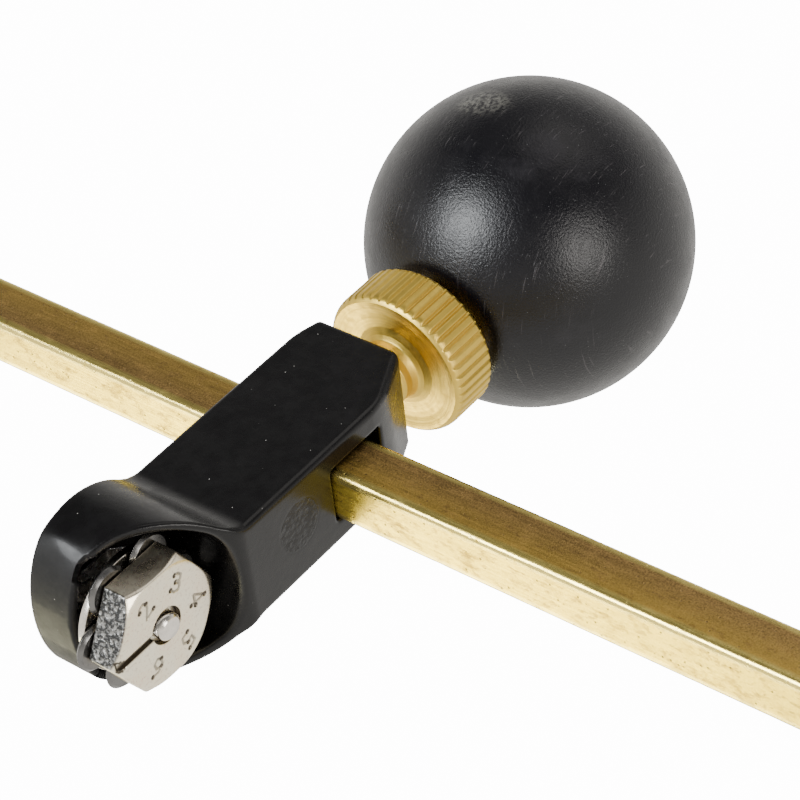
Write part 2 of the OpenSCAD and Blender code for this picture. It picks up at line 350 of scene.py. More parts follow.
def black_paint():
    """Sprayed semi-gloss black on a casting, with orange peel and a few grains of dust."""
    f = Finish("black_paint", Specular_IOR_Level=0.32, Coat_Weight=0.1, Coat_Roughness=0.1)
    place = f.mapped(HEAD + ROUND_MARK, (0.5, ROUND_MARK_R, ROUND_MARK_R))
    spot = f.add("ShaderNodeVectorMath", {"operation": "LENGTH"}, Vector=place).outputs["Value"]
    spot = f.maths("MULTIPLY", f.span(spot, 0.9, 1.0, 1.0, 0.0), f.span(f.noise(0.6, 3), 0.3, 0.6))
    cloud = f.noise(6, 4)
    dust = f.specks(1.15, 0.075)
    colour = f.mix(f.span(cloud, 0.35, 0.7), (0.0014, 0.0012, 0.0014), (0.0035, 0.0031, 0.0034))
    colour = f.mix(dust, colour, (0.32, 0.31, 0.29))
    f.bump(f.noise(0.9, 2), 0.018)
    f.bump(f.noise(0.16, 3), 0.0035)
    f.bump(dust, 0.02)
    f.bump(f.maths("MULTIPLY", spot, f.noise(0.5, 3, 0.7, shift=6)), 0.07)
    rough = f.maths("ADD", f.span(f.noise(1.6, 5, 0.6), 0.3, 0.75, 0.24, 0.36),
                    f.maths("MULTIPLY", spot, 0.22))
    height = f.split(f.mapped(HEAD))[2]
    return f.done(colour, f.maths("ADD", rough, f.span(height, -29.5, -26.5, 0.36, 0.0)))


def ball_black():
    """Moulded black ball: satin, fine grained, rubbed in places."""
    f = Finish("ball_black", Specular_IOR_Level=0.41)
    rub = f.span(f.noise(9, 5, 0.65, shift=40), 0.56, 0.74)
    scratch = f.span(f.noise(1.0, 3, 0.6, stretch=(0.18, 7, 3), shift=12), 0.63, 0.72)
    fleck = f.specks(0.55, 0.06, 7)
    away = f.add("ShaderNodeVectorMath", {"operation": "LENGTH"},
                 Vector=f.mapped(SCUFF, (4.6, 2.6, 2.9))).outputs["Value"]
    scuff = f.maths("MULTIPLY", f.span(away, 0.35, 1.0, 1.0, 0.0),
                    f.span(f.noise(0.5, 4, 0.7), 0.42, 0.6))
    colour = f.mix(rub, (0.0024, 0.0021, 0.0035), (0.009, 0.0082, 0.0105))
    colour = f.mix(f.maths("MULTIPLY", fleck, 0.5), colour, (0.16, 0.16, 0.16))
    colour = f.mix(f.maths("MULTIPLY", scratch, 0.35), colour, (0.09, 0.08, 0.085))
    colour = f.mix(f.maths("MULTIPLY", scuff, 0.75), colour, (0.125, 0.12, 0.105))
    f.bump(f.noise(0.6, 2, 0.6), 0.014)
    f.bump(f.noise(0.24, 2, 0.6, shift=3), 0.044)
    f.bump(scratch, 0.008)
    rough = f.maths("ADD", f.span(f.noise(2.4, 4), 0.3, 0.7, 0.26, 0.34),
                    f.maths("MULTIPLY", rub, 0.1))
    return f.done(colour, rough)


def bar_brass():
    """Drawn brass bar: fine grain, brown tarnish and pits, rubbed bright on its edges.

    The side faces are painted darker, partly as tarnish and partly as painted shade: towards
    the pivot the brown is heavier low down, and towards the free end it is heavier along the top.
    """
    f = Finish("bar_brass", Metallic=1.0)
    edge = f.attribute("edge")
    stain = f.span(f.noise(1.5, 6, 0.7, stretch=(1.8, 1, 1)), 0.48, 0.72)
    blot = f.span(f.noise(0.7, 4, 0.65, stretch=(1.8, 1, 1), shift=9), 0.54, 0.64)
    lines = f.noise(0.22, 3, 0.6, stretch=(25, 1, 1))
    grain = f.noise(0.2, 3, 0.65)
    pits = f.specks(0.8, 0.15, 3)
    x, y, z = f.split(f.mapped((HEAD[0], 0, BAR_Z)))
    # The side faces get a darker brass and most of the brown: partly tarnish, partly painted
    # shade.
    side = f.span(f.maths("ABSOLUTE", y), 2.6, 2.98)
    low = f.span(z, -2.6, 1.6, 0.95, 0.6)
    high = f.span(z, -2.9, 2.4, 0.4, 0.97)
    tarnish_and_side_shade = f.maths("MULTIPLY", side, f.slide(f.span(x, -6, 6), low, high))
    clean = f.mix(f.span(grain, 0.3, 0.7), (0.86, 0.63, 0.075), (1.0, 0.755, 0.115))
    # A darker copy of the clean brass on the side faces: painted shade.
    clean = f.mix(side, clean, f.mix(grain, (0.70, 0.45, 0.07), (0.95, 0.65, 0.12)))
    colour = f.mix(f.maths("MULTIPLY", stain, 0.5), clean, (0.48, 0.29, 0.055))
    colour = f.mix(f.maths("MULTIPLY", blot, 0.5), colour, (0.26, 0.15, 0.04))
    colour = f.mix(f.maths("MULTIPLY", pits, 0.8), colour, (0.10, 0.065, 0.03))
    # The brown laid on the side faces: tarnish with painted shade in it.
    dull = f.mix(f.span(f.noise(0.9, 5, 0.7, shift=21), 0.35, 0.7), (0.24, 0.145, 0.06),
                 (0.37, 0.225, 0.09))
    dull = f.mix(f.span(grain, 0.38, 0.62), dull, (0.52, 0.33, 0.12))
    colour = f.mix(tarnish_and_side_shade, colour, dull)
    wear = f.maths("MULTIPLY", edge, f.span(f.noise(1.1, 4, shift=5), 0.25, 0.45))
    colour = f.mix(wear, colour, (0.95, 0.76, 0.22))
    f.bump(lines, 0.002)
    f.bump(grain, 0.012)
    f.bump(f.noise(0.5, 4, 0.6, stretch=(2, 1, 1)), 0.012)
    f.bump(f.maths("SUBTRACT", 1.0, pits), 0.02)
    rough = f.maths("ADD", f.span(lines, 0.3, 0.7, 0.30, 0.42),
                    f.maths("MULTIPLY", stain, 0.16))
    return f.done(colour, f.maths("SUBTRACT", rough, f.maths("MULTIPLY", wear, 0.12)))


def turned_brass(name, centre):
    """Bright turned brass with rings round its axis."""
    f = Finish(name, Metallic=1.0, Anisotropic=0.35)
    ring = f.rings(centre, 2, 0.3, 3)
    coarse = f.rings(centre, 2, 1.1, 1)
    stain = f.span(f.noise(1.6, 5, 0.7), 0.50, 0.80)
    colour = f.mix(f.span(ring, 0.3, 0.7), (0.68, 0.47, 0.09), (0.84, 0.60, 0.11))
    colour = f.mix(f.maths("MULTIPLY", stain, 0.35), colour, (0.54, 0.34, 0.09))
    f.bump(ring, 0.02)
    f.bump(coarse, 0.02)
    f.bump(f.noise(0.25, 3), 0.003)
    return f.done(colour, f.span(f.noise(0.8, 4), 0.3, 0.7, 0.36, 0.48))


def nickel():
    """Satin nickel plate with fine pits, darker in its hollows; one flat is hammered."""
    f = Finish("nickel", Metallic=1.0)
    worn = f.attribute("hammered")
    grain = f.noise(0.12, 3, 0.6)
    cloud = f.noise(2.5, 4)
    colour = f.mix(f.span(cloud, 0.3, 0.7), (1.0, 0.87, 0.66), (1.0, 0.93, 0.74))
    colour = f.mix(f.span(f.noise(0.35, 4, 0.7), 0.52, 0.64, 0.0, 0.4), colour, (0.5, 0.4, 0.3))
    dark = f.span(f.noise(0.42, 3, 0.6, shift=4), 0.38, 0.56)
    colour = f.mix(worn, colour, f.mix(dark, (0.36, 0.355, 0.34), (0.06, 0.06, 0.06)))
    # Near black in the stamped numbers and on the walls of the groove and recess.
    colour = f.mix(f.maths("MULTIPLY", f.attribute("hollow_darkening"), 0.93), colour, (0.03, 0.022, 0.016))
    f.bump(grain, 0.003)
    f.bump(f.maths("MULTIPLY", worn, f.noise(0.42, 2, shift=4)), 0.12)
    rough = f.maths("ADD", f.span(cloud, 0.3, 0.7, 0.24, 0.34), f.maths("MULTIPLY", worn, 0.05))
    return f.done(colour, rough)


def machined(name, tint, rough, centre=(0, 0, 0), axis=2):
    """Bright machined or plated steel with faint turning marks."""
    f = Finish(name, Metallic=1.0)
    ring = f.rings(centre, axis, 0.2)
    smear = f.noise(1.8, 5, 0.6)
    dull = [c * 0.72 for c in tint]
    colour = f.mix(f.span(smear, 0.45, 0.75), tint, dull)
    f.bump(ring, 0.005)
    f.bump(f.noise(0.2, 3), 0.002)
    return f.done(colour, f.span(smear, 0.3, 0.75, rough, rough + 0.14))


def cup_rubber():
    """Moulded rubber: matt, with a bloom of dust and mould grain."""
    f = Finish("cup_rubber", Specular_IOR_Level=0.4)
    bloom = f.span(f.noise(7, 5, 0.6), 0.42, 0.75)
    colour = f.mix(bloom, (0.020, 0.012, 0.011), (0.045, 0.032, 0.030))
    colour = f.mix(f.specks(1.4, 0.07), colour, (0.30, 0.28, 0.26))
    f.bump(f.noise(0.25, 3), 0.01)
    f.bump(f.rings((0, 0, 0), 2, 0.9, 1), 0.03)
    return f.done(colour, f.maths("ADD", 0.46, f.maths("MULTIPLY", bloom, 0.2)))


def nylon():
    """Plain nylon, slightly see-through, with grime."""
    f = Finish("nylon", Specular_IOR_Level=0.45, Subsurface_Weight=0.15,
               Subsurface_Radius=(0.6 * MM,) * 3)
    grime = f.span(f.noise(1.6, 5), 0.45, 0.8)
    colour = f.mix(grime, (0.66, 0.65, 0.59), (0.47, 0.44, 0.37))
    f.bump(f.noise(0.3, 3), 0.006)
    return f.done(colour, f.span(f.noise(0.9, 3), 0.3, 0.7, 0.38, 0.5))


def etched():
    """Dark fill of the bar's graduations."""
    f = Finish("etched", Specular_IOR_Level=0.3)
    colour = f.mix(f.noise(0.4, 4), (0.02, 0.016, 0.012), (0.07, 0.05, 0.03))
    f.bump(f.noise(0.1, 2), 0.004)
    return f.done(colour, f.span(f.noise(0.5, 3), 0.3, 0.7, 0.5, 0.7))


PAINT = black_paint()
BALL = ball_black()
BAR = bar_brass()
SCREW = turned_brass("screw_brass", HEAD)
CAP = turned_brass("cap_brass", PIVOT)
NICKEL = nickel()
RUBBER = cup_rubber()
NYLON = nylon()
ETCHED = etched()
PLATED = machined("plated_steel", (0.70, 0.70, 0.71), 0.18)
STEEL = machined("plain_steel", (0.52, 0.52, 0.54), 0.26)
TURRET_AXIS = HEAD - np.array([0, 0, TURRET_DROP])
# The wheels' steel is darker than bare steel: partly their own dark grey, partly painted shade of
# the hood's hollow.
WHEEL_DARK_WITH_SHADE = machined("wheel_steel", (0.20, 0.195, 0.19), 0.22, TURRET_AXIS, 0)
PIN = machined("pin_steel", (0.84, 0.79, 0.71), 0.16, TURRET_AXIS, 0)
END = machined("end_steel", (0.70, 0.70, 0.71), 0.18, (0, 0, BAR_Z), 0)


# ---------------------------------------------------------------- the head casting

BLOCK = {"half_x": 6.95, "half_y": 5.9, "top": 12.1, "bottom": -22.0}
FRONT_SLOPE = ((3.95, BLOCK["top"]), (BLOCK["half_x"], 5.6))
BACK_SLOPE = ((-BLOCK["half_x"], 9.1), (-6.15, BLOCK["top"]))
SLOT = {"half_y": 3.25, "middle_z": 0.8, "half_z": 3.85}
SCREW_HOLE_R = 3.05
HOOD = {"axis": 23.7, "r": 9.5, "wall": 1.0, "corner_axis": 21.1, "corner_r": 10.65,
        "floor_axis": 12.75, "floor_r": 18.0, "back": -4.6, "ceiling": -16.4}
RIM = {"r": 136.5, "x": 111.6, "z": -103.7, "foot": -1.9}
BULGE = {"x": -4.8, "turn": math.radians(23.5), "rise": 0.55, "half_x": 2.2, "half_turn": 1.5}
AXLE_HOLE = {"r": 1.25, "head_r": 2.2, "head_deep": 1.0}
LIP = 0.42                       # radius that the hood's opening is rounded to


def hood_outline(y, z, wall, r):
    """Distance outside the hood's outline moved in by wall, with corners of radius r."""
    side = np.hypot(y, z + HOOD["axis"]) - (HOOD["r"] - wall)
    corner = np.hypot(y, z + HOOD["corner_axis"]) - (HOOD["corner_r"] - wall)
    floor = np.hypot(y, z + HOOD["floor_axis"]) - (HOOD["floor_r"] - wall)
    return both(both(side, corner, r), floor, r)


def hood_bulge(x, y, z):
    """A low swelling on the hood's front side, where the casting catches the light."""
    turn = np.arctan2(-(z + HOOD["axis"]), -y) - BULGE["turn"]
    around = turn * HOOD["r"] / BULGE["half_turn"]
    along = (x - BULGE["x"]) / BULGE["half_x"]
    return np.where(y < 0, BULGE["rise"] * np.exp(-around ** 2 - along ** 2), 0)


def head_field(p):
    """The casting: block and hood, less the bar's slot, the screw's hole and the hollow."""
    x, y, z = p.T
    block = both(np.abs(y) - BLOCK["half_y"], BLOCK["bottom"] - z, 0.5)
    outline = either(block, hood_outline(y, z, 0, 1.2), 1.3) - hood_bulge(x, y, z)
    skin = both(outline, x - BLOCK["half_x"], 0.7)
    skin = both(skin, -x - BLOCK["half_x"], 0.35)
    skin = both(skin, z - BLOCK["top"], 0.5)
    skin = both(skin, plane(x, z, *FRONT_SLOPE), 0.9)
    skin = both(skin, plane(x, z, *BACK_SLOPE), 0.4)
    slot = both(slab(y, 0, SLOT["half_y"]), slab(z, SLOT["middle_z"], SLOT["half_z"]), 0.4)
    skin = without(skin, slot, 0.4)
    skin = without(skin, np.maximum(np.hypot(x, y) - SCREW_HOLE_R, -z), 0.25)
    hollow = both(hood_outline(y, z, HOOD["wall"], 1.2), z - HOOD["ceiling"], 2.0)
    hollow = both(hollow, HOOD["back"] - x, 1.0)
    skin = without(skin, hollow, LIP)
    rim = both(np.hypot(x - RIM["x"], z - RIM["z"]) - RIM["r"], RIM["foot"] - x, 2.5)
    skin = without(skin, rim, LIP)
    mark = np.hypot(y - ROUND_MARK[1], z - ROUND_MARK[2]) - ROUND_MARK_R
    skin = without(skin, both(mark, ROUND_MARK[0] - ROUND_MARK_DEPTH - x))
    bore = np.hypot(y, z + TURRET_DROP)
    skin = without(skin, bore - AXLE_HOLE["r"])
    head = x + BLOCK["half_x"] - AXLE_HOLE["head_deep"]
    return without(skin, np.maximum(bore - AXLE_HOLE["head_r"], head), 0.1)


def make_head():
    sculpt("head_casting", "head_block", 0.2, head_field, HEAD, "head", PAINT)


# ---------------------------------------------------------------- the turret

TURRET = {"flat": 6.15, "front": 4.4, "gap": (0.0, 1.1), "back": -0.85, "wheel_x": 0.55,
          "wheel_circle": 5.5, "wheels": 6, "digit": 1.9, "digit_r": 4.3, "recess": (1.9, 0.75),
          "bore": 1.3, "hub_r": 2.7, "pin_hole": (0.5, 1.5)}
BEVEL = ((6.2, TURRET["front"]), (8.0, 3.0))       # (radius, x) where the front's bevel runs
GROOVE = {"half": 0.38, "start": -1.5, "foot": -6.6, "deep": 0.5, "teeth": (-5.9, -6.2, -6.5)}
STROKE_R = 0.12
DOT_R = 0.24
HAMMERED = math.radians(150)     # direction of the flat that is hammered, from straight up
RIVET_LEAN = (-0.13, 0.28)       # the peened end of the axle is a little off its axis
DIGITS = {
    1: [[(0.1, 0.75), (0.4, 1), (0.4, 0)]],
    2: [[(0.05, 0.8), (0.2, 0.98), (0.5, 0.98), (0.6, 0.75), (0.5, 0.5), (0, 0), (0.65, 0)]],
    3: [[(0.05, 0.9), (0.25, 1), (0.55, 0.9), (0.55, 0.6), (0.25, 0.52), (0.6, 0.42), (0.6, 0.1),
         (0.3, 0), (0, 0.12)]],
    4: [[(0.5, 0), (0.5, 1), (0, 0.3), (0.68, 0.3)]],
    5: [[(0.6, 1), (0.1, 1), (0.06, 0.58), (0.4, 0.62), (0.62, 0.35), (0.45, 0.03), (0.03, 0.08)]],
    6: [[(0.55, 0.95), (0.2, 0.75), (0.03, 0.3), (0.2, 0), (0.5, 0), (0.62, 0.3), (0.4, 0.55),
         (0.08, 0.42)]],
    7: [[(0, 1), (0.62, 1), (0.2, 0)]],
    8: [[(0.3, 0.55), (0.05, 0.78), (0.3, 1), (0.55, 0.78), (0.3, 0.55), (0, 0.25), (0.3, 0),
         (0.6, 0.25), (0.3, 0.55)]],
    9: [[(0.1, 0), (0.45, 0.25), (0.6, 0.7), (0.4, 1), (0.1, 0.95), (0.05, 0.65), (0.25, 0.48),
         (0.58, 0.6)]],
    0: [[(0.3, 1), (0.05, 0.75), (0.05, 0.25), (0.3, 0), (0.55, 0.25), (0.55, 0.75), (0.3, 1)]],
}


def strokes(number, height):
    """Line segments of a digit about its middle: pairs of points (across, up)."""
    pairs = []
    for line in DIGITS[number]:
        points = [((a - 0.32) * height, (b - 0.5) * height) for a, b in line]
        pairs += list(zip(points, points[1:]))
    return pairs


def segment_distance(u, v, start, end):
    """Distance from points (u, v) to a straight segment."""
    au, av = start
    du, dv = end[0] - au, end[1] - av
    t = np.clip(((u - au) * du + (v - av) * dv) / (du * du + dv * dv), 0, 1)
    return np.hypot(u - au - t * du, v - av - t * dv)


def hexagon(y, z):
    """Distance outside the hexagon, which has a corner straight down."""
    flats = [np.abs(y * math.cos(a) + z * math.sin(a)) for a in (0, math.pi / 3, -math.pi / 3)]
    return np.max(flats, axis=0) - TURRET["flat"]


def turret_field(p):
    """The holder's front half: hexagon, hub, bore, recess, groove, pin holes and numbers."""
    x, y, z = p.T
    r = np.hypot(y, z)
    front, (gap_back, gap_front) = TURRET["front"], TURRET["gap"]
    recess_r, recess_deep = TURRET["recess"]
    pin_r, pin_deep = TURRET["pin_hole"]
    skin = both(hexagon(y, z), x - front, 0.12)
    skin = both(skin, gap_front - x, 0.08)
    skin = both(skin, plane(r, x, *BEVEL), 0.2)
    hub = np.maximum(r - TURRET["hub_r"], np.maximum(gap_back - x, x - gap_front - 0.9))
    skin = either(skin, hub, 0.1)
    skin = without(skin, r - TURRET["bore"])
    skin = without(skin, np.maximum(r - recess_r, front - recess_deep - x), 0.1)
    skin = without(skin, np.maximum(groove(y, z), front - GROOVE["deep"] - x), 0.08)
    for place in wheel_places():
        hole = np.hypot(y - place[1], z - place[2]) - pin_r
        skin = without(skin, np.maximum(hole, x - gap_front - pin_deep))
    strokes_in, ends_in = digit_marks(x, y, z)
    skin = without(skin, strokes_in - STROKE_R, 0.04)
    return without(skin, ends_in - DOT_R, 0.04)


def wheel_places():
    """The six wheels' middles from the turret's axis, the first one straight down."""
    step = 2 * math.pi / TURRET["wheels"]
    reach = TURRET["wheel_circle"]
    return [np.array([TURRET["wheel_x"], -reach * math.sin(k * step), -reach * math.cos(k * step)])
            for k in range(TURRET["wheels"])]


def groove(y, z):
    """Distance outside the groove of the working wheel, with a few teeth near its foot."""
    ends = np.maximum(z - GROOVE["start"], GROOVE["foot"] - z)
    line = np.maximum(np.abs(y) - GROOVE["half"], ends)
    for tooth in GROOVE["teeth"]:
        line = np.minimum(line, np.hypot(np.maximum(np.abs(y) - 0.5, 0), z - tooth) - 0.09)
    return line


def digit_marks(x, y, z):
    """Distances to the strokes of the stamped numbers, and to their deeper ends."""
    front = TURRET["front"]
    line = np.full(len(x), 9.0)
    dots = line.copy()
    close = x > front - 0.8
    for number in range(2, TURRET["wheels"] + 1):
        a = (number - 1) * 2 * math.pi / TURRET["wheels"]
        up = np.array([-math.sin(a), -math.cos(a)])
        across = np.array([up[1], -up[0]])
        u = (y * across[0] + z * across[1])[close]
        v = (y * up[0] + z * up[1])[close] - TURRET["digit_r"]
        deep = x[close] - front
        pairs = strokes(number, TURRET["digit"])
        for start, end in pairs:
            mark = np.hypot(segment_distance(u, v, start, end), deep)
            line[close] = np.minimum(line[close], mark)
        for a, b in (pairs[0][0], pairs[len(pairs) // 2][0], pairs[-1][1]):
            dot = np.sqrt((u - a) ** 2 + (v - b) ** 2 + deep ** 2)
            dots[close] = np.minimum(dots[close], dot)
    return line, dots


def mark_turret(piece):
    """Flags the flat below the front one, rough from handling, and where its hollows are darkened.
    """
    mesh = piece.data
    points = np.zeros(len(mesh.vertices) * 3, np.float32)
    mesh.vertices.foreach_get("co", points)
    x, y, z = (points.reshape(-1, 3) / MM - TURRET_AXIS).T
    toward = z * math.cos(HAMMERED) - y * math.sin(HAMMERED)
    strokes_in, ends_in = digit_marks(x, y, z)
    # Darkening: full in the numbers' deeper ends, 0.6 along their strokes, and on the walls of the
    # groove and recess.
    hollow_darkening = np.maximum(0.6 * np.clip((STROKE_R + 0.06 - strokes_in) / 0.06, 0, 1),
                      np.clip((DOT_R + 0.07 - ends_in) / 0.07, 0, 1))
    rim = np.minimum(np.abs(groove(y, z)), np.abs(np.hypot(y, z) - TURRET["recess"][0]))
    sunk = np.clip((TURRET["front"] - x - 0.02) / 0.05, 0, 1)
    walls = sunk * np.clip((0.17 - rim) / 0.05, 0, 1)
    hollow_darkening = np.maximum(hollow_darkening, np.where(x > TURRET["front"] - 0.8, walls, 0))
    for name, value in (("hammered", np.clip((toward - 6.0) / 0.12, 0, 1)), ("hollow_darkening", hollow_darkening)):
        flag = mesh.attributes.new(name, "FLOAT", "POINT")
        flag.data.foreach_set("value", value.astype(np.float32))


def make_turret():
    """The wheel holder, its rear plate, the six wheels, the rivet and the spring."""
    body = sculpt("turret_holder", "turret_body", 0.095, turret_field, TURRET_AXIS, "turret",
                  NICKEL, rounds=6)
    mark_turret(body)
    disc = rounded([(1.3, -0.85, 0.05), (6.3, -0.85, 0.18), (6.3, 0, 0.12), (1.3, 0, 0.05)], 4,
                   closed=True)
    plate, faces = lathe(disc, 128, closed=True)
    new_piece("turret_backplate", along_x(plate) + TURRET_AXIS, faces, "turret",
              PIN, ["turret_rear_plate"])
    profile = rounded([(0.55, -0.4, 0.04), (2.15, -0.4, 0.06), (2.5, 0, 0.02), (2.15, 0.4, 0.06),
                       (0.55, 0.4, 0.04)], 3, closed=True)
    ring, faces = lathe(profile, 96, closed=True)
    for number, place in enumerate(wheel_places(), 1):
        name = f"wheel_{number}"
        new_piece("cutting_" + name, along_x(ring) + place + TURRET_AXIS, faces, name,
                  WHEEL_DARK_WITH_SHADE, [name])
    profile = rounded([(0, -6.95, 0), (1.7, -6.95, 0.5), (2.2, -6.4, 0.2), (2.2, -5.95, 0.05),
                       (1.25, -5.95, 0), (1.25, 3.71, 0), (1.4, 3.73, 0), (1.4, 4.1, 0.05),
                       (1.4, 4.5, 0.2), (1.1, 4.82, 0.3), (0, 4.9, 0)])
    rod, faces = lathe(profile, 64)
    rod[:, :2] += RIVET_LEAN * np.clip((rod[:, 2:] - 3.9) / 0.6, 0, 1)
    new_piece("turret_rivet", along_x(rod) + TURRET_AXIS, faces, "head", PIN,
              ["turret_axle"])
    make_spring()


def make_spring():
    """The bent index spring: a strip swept through its bends, with rolled edges."""
    x0, x1 = HOOD["back"], TURRET["back"] - 0.25
    line = rounded([(x0 + 0.22, -3.4, 0), (x0 + 0.22, 2.3, 0.8), (x1 - 0.22, 5.1, 0.7),
                    (x1 - 0.22, 6.2, 0)], 8)
    half_t, half_w = 0.2, 3.5
    section = rounded([(-half_t, -half_w, 0.15), (half_t, -half_w, 0.15), (half_t, half_w, 0.15),
                       (-half_t, half_w, 0.15)], 3, closed=True)
    vertices, faces = [], []
    heading = np.gradient(line, axis=0)
    heading /= np.linalg.norm(heading, axis=1)[:, None]
    for (x, z), (tx, tz) in zip(line, heading):
        for n, w in section:
            vertices.append((x + n * tz, w, z - n * tx))
    k = len(section)
    for i in range(len(line) - 1):
        for j in range(k):
            m = (j + 1) % k
            faces.append((i * k + j, i * k + m, (i + 1) * k + m, (i + 1) * k + j))
    faces.append(tuple(range(k)))
    faces.append(tuple(range(len(vertices) - k, len(vertices)))[::-1])
    new_piece("spring_strip", np.array(vertices) + TURRET_AXIS, faces, "head", PLATED,
              ["index_spring"])


# ---------------------------------------------------------------- screw and ball

def ridged(outer, depth, count, low, high):
    """Flat-topped ridges with narrow grooves between them, between two heights."""
    def tread(radius, height, angle):
        if not low < height < high:
            return np.full(len(angle), radius)
        saw = 2 * np.abs((angle * count / (2 * math.pi)) % 1 - 0.5)
        cut = depth * (1 - np.clip(2.5 * saw - 0.25, 0, 1))
        return np.minimum(radius, outer - cut)
    return tread


def make_screw():
    """The thumb screw, from the spigot at its tip up to the spigot inside the ball."""
    profile = rounded([
        (0, 3.4, 0), (0.85, 3.41, 0.1), (1.0, 3.6, 0), (1.0, 3.96, 0), (2.5, 3.96, 0.1),
        (2.95, 4.4, 0.1), (2.95, 13.0, 0), (3.0, 13.1, 0), (3.2, 13.35, 0.2), (3.2, 14.2, 0.3),
        (3.4, 15.0, 0.4), (3.85, 15.3, 0.3), (4.6, 15.58, 0.5), (6.3, 15.52, 0.8),
        (7.3, 15.33, 0.1), (7.68, 15.3, 0.03), (7.84, 15.42, 0), (7.97, 15.55, 0),
        (8.06, 15.68, 0), (8.13, 15.83, 0), (8.19, 16.0, 0), (8.23, 16.2, 0), (8.25, 16.5, 0),
        (8.25, 17.5, 0), (8.25, 18.7, 0), (8.25, 19.9, 0), (8.25, 20.6, 0.08), (7.95, 21.0, 0.08),
        (4.6, 21.0, 0.1), (4.0, 21.15, 0),
        (4.0, 34.95, 0), (3.3, 34.95, 0), (3.3, 35.95, 0), (4.0, 35.95, 0), (4.0, 37.8, 0.2),
        (0, 37.8, 0)], 4)
    tread = ridged(8.25, 0.32, 46, 15.6, 20.97)
    stem, faces = lathe(profile, 46 * 12, tread)
    new_piece("thumb_screw", stem + HEAD, faces, "clamp_screw", SCREW,
              ["clamp_screw"])


def make_ball():
    """The ball, with a small flat foot that its brass bush comes through."""
    foot, bore = 7.2, 5.0
    start = math.asin(foot / BALL_R)
    arc = [(BALL_R * math.sin(a), BALL_RISE - BALL_R * math.cos(a))
           for a in np.linspace(start + 0.012, math.pi, 90)]
    arc[-1] = (0.0, arc[-1][1])
    base = BALL_RISE - BALL_R * math.cos(start)
    hole = [(0.0, base + 16.2), (bore, base + 16.2), (bore, base + 0.15),
            (bore + 0.12, base + 0.02), (foot - 0.15, base + 0.01)]
    ball, faces = lathe(np.array(hole + arc), 160)
    new_piece("black_ball", ball + HEAD, faces, "knob", BALL, ["ball_knob"])


# ---------------------------------------------------------------- the bar

BAR_HALF = 3.0
BAR_EDGE = 0.62                  # radius of the bar's rolled edges
SCALE = {"first": 32, "last": 210, "edge": -2.4, "line": 0.13, "stroke": 0.16, "deep": 0.08,
         "digit": 1.5, "digit_step": 1.25}


def make_bar():
    """The square bar: rolled edges and small dents."""
    low, high = (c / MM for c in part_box("bar"))
    side, edge = BAR_HALF, BAR_EDGE
    ring, flags = [], []
    for corner in range(4):
        turn = corner * math.pi / 2
        for k in range(7):
            a = turn + k * math.pi / 12
            base = turn + math.pi / 4
            reach = (side - edge) * math.sqrt(2)
            ring.append((reach * math.cos(base) + edge * math.cos(a),
                         reach * math.sin(base) + edge * math.sin(a)))
            flags.append(1.0)
        nxt = turn + math.pi / 2
        for share in (0.1, 0.5, 0.9):
            along = (side - edge) * (1 - 2 * share)
            ring.append((side * math.cos(nxt) + along * math.sin(nxt),
                         side * math.sin(nxt) - along * math.cos(nxt)))
            flags.append(0.0)
    ring = np.array(ring)
    rng = np.random.default_rng(7)
    stations = np.concatenate([[low.x, low.x], np.linspace(low.x + 0.35, high.x - 0.35, 420),
                               [high.x, high.x]])
    scale = np.ones(len(stations))
    scale[[0, -1]] = 0.0
    scale[[1, -2]] = 0.93
    vertices, wear = [], []
    ripple = rng.normal(0, 1, (len(stations), len(ring)))
    ripple = (ripple + np.roll(ripple, 1, 0) + np.roll(ripple, -1, 0)) / 3
    for x, s, row in zip(stations, scale, ripple):
        dent = 1 - 0.0045 * np.abs(row) * np.array(flags)
        for (y, z), d in zip(ring, dent):
            vertices.append((x, s * d * y, BAR_Z + s * d * z))
        wear += flags
    k = len(ring)
    faces = [(i * k + j, i * k + (j + 1) % k, (i + 1) * k + (j + 1) % k, (i + 1) * k + j)
             for i in range(len(stations) - 1) for j in range(k)]
    bar = new_piece("square_bar", vertices, faces, "beam", BAR, ["bar"])
    flag = bar.data.attributes.new("edge", "FLOAT", "POINT")
    flag.data.foreach_set("value", np.array(wear, np.float32))


def sunk_box(start, end, width, top, depth):
    """A thin box along a line on the bar's top face, given in the pivot frame."""
    a, b = np.array(start, float), np.array(end, float)
    along = (b - a) / np.linalg.norm(b - a)
    across = np.array([-along[1], along[0]]) * width / 2
    base = [a - across, a + across, b + across, b - across]
    return [(*p, z) for z in (top - depth, top) for p in base]


def number_boxes(x, text, top):
    """The strokes of a number that stands beside its centimetre line."""
    boxes = []
    height, narrow = SCALE["digit"], 0.8
    for place, letter in enumerate(text):
        middle_x = x - 1.6 + (place - (len(text) - 1) / 2) * SCALE["digit_step"]
        for start, end in strokes(int(letter), height):
            boxes.append(sunk_box((middle_x + start[0] * narrow, height + start[1]),
                                  (middle_x + end[0] * narrow, height + end[1]),
                                  SCALE["stroke"], top, SCALE["deep"]))
    return boxes


